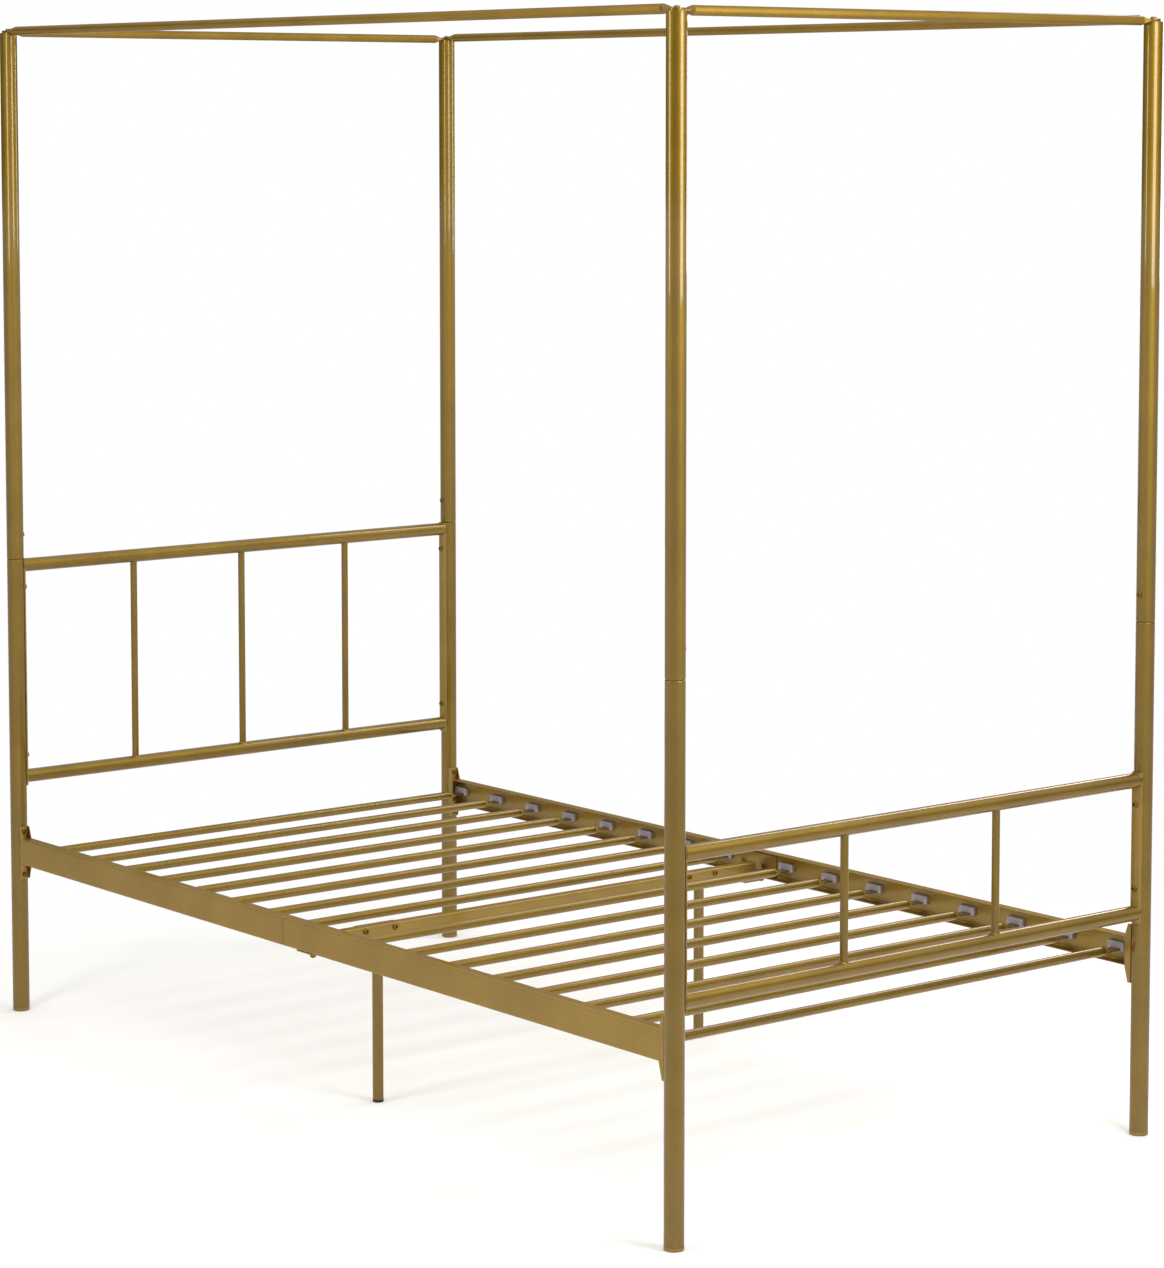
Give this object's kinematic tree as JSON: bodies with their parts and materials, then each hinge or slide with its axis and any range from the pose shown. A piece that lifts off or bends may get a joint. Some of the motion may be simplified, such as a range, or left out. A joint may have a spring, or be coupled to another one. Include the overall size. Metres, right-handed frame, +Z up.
{
  "type": "four poster canopy bed",
  "caption": "Four poster bed of round metal tube with a plain canopy frame, spindle headboard and low footboard, and tube slats between folded channel side rails.",
  "frame": {"origin": "on the floor, midway between the four posts", "axes": "+X across the bed to its right side, +Y along the bed from the foot to the head, +Z up"},
  "size_m": [1.0518, 1.9656, 1.8675],
  "materials": {
    "gold_paint": "satin antique gold powder coat with a fine metallic grain",
    "gold_plastic": "satin gold moulded plastic",
    "holder_plastic": "satin light grey moulded plastic",
    "black_plastic": "matt black moulded plastic",
    "gold_hardware": "gold tinted plated steel",
    "bright_zinc": "bright zinc plated steel"
  },
  "bodies": {
    "root": {"beam_bolts": "gold_hardware", "beam_nuts": "gold_hardware", "canopy_bolts": "gold_paint", "canopy_rail_foot": "gold_paint", "canopy_rail_head": "gold_paint", "canopy_rail_left": "gold_paint", "canopy_rail_right": "gold_paint", "centre_beam": "gold_paint", "foot_caps": "gold_plastic", "footboard_bottom_rail": "gold_paint", "footboard_side_strips": "gold_paint", "footboard_spindle_left": "gold_paint", "footboard_spindle_right": "gold_paint", "footboard_top_rail": "gold_paint", "frame_bolts": "gold_hardware", "headboard_bottom_rail": "gold_paint", "headboard_side_strips": "gold_paint", "headboard_spindle_left": "gold_paint", "headboard_spindle_middle": "gold_paint", "headboard_spindle_right": "gold_paint", "headboard_top_rail": "gold_paint", "joiner_screws": "gold_hardware", "joint_screws": "gold_hardware", "leg_bolts": "gold_hardware", "leg_caps": "black_plastic", "lower_post_foot_left": "gold_paint", "lower_post_foot_right": "gold_paint", "lower_post_head_left": "gold_paint", "lower_post_head_right": "gold_paint", "post_nuts": "bright_zinc", "post_top_plugs": "gold_paint", "rail_end_brackets": "gold_paint", "rail_joiners": "gold_paint", "side_rail_left_foot": "gold_paint", "side_rail_left_head": "gold_paint", "side_rail_right_foot": "gold_paint", "side_rail_right_head": "gold_paint", "slat_01": "gold_paint", "slat_02": "gold_paint", "slat_03": "gold_paint", "slat_04": "gold_paint", "slat_05": "gold_paint", "slat_06": "gold_paint", "slat_07": "gold_paint", "slat_08": "gold_paint", "slat_09": "gold_paint", "slat_10": "gold_paint", "slat_11": "gold_paint", "slat_12": "gold_paint", "slat_13": "gold_paint", "slat_14": "gold_paint", "slat_15": "gold_paint", "slat_16": "gold_paint", "slat_holders": "holder_plastic", "support_leg_left": "gold_paint", "support_leg_right": "gold_paint", "upper_post_foot_left": "gold_paint", "upper_post_foot_right": "gold_paint", "upper_post_head_left": "gold_paint", "upper_post_head_right": "gold_paint"}
  },
  "joints": []
}
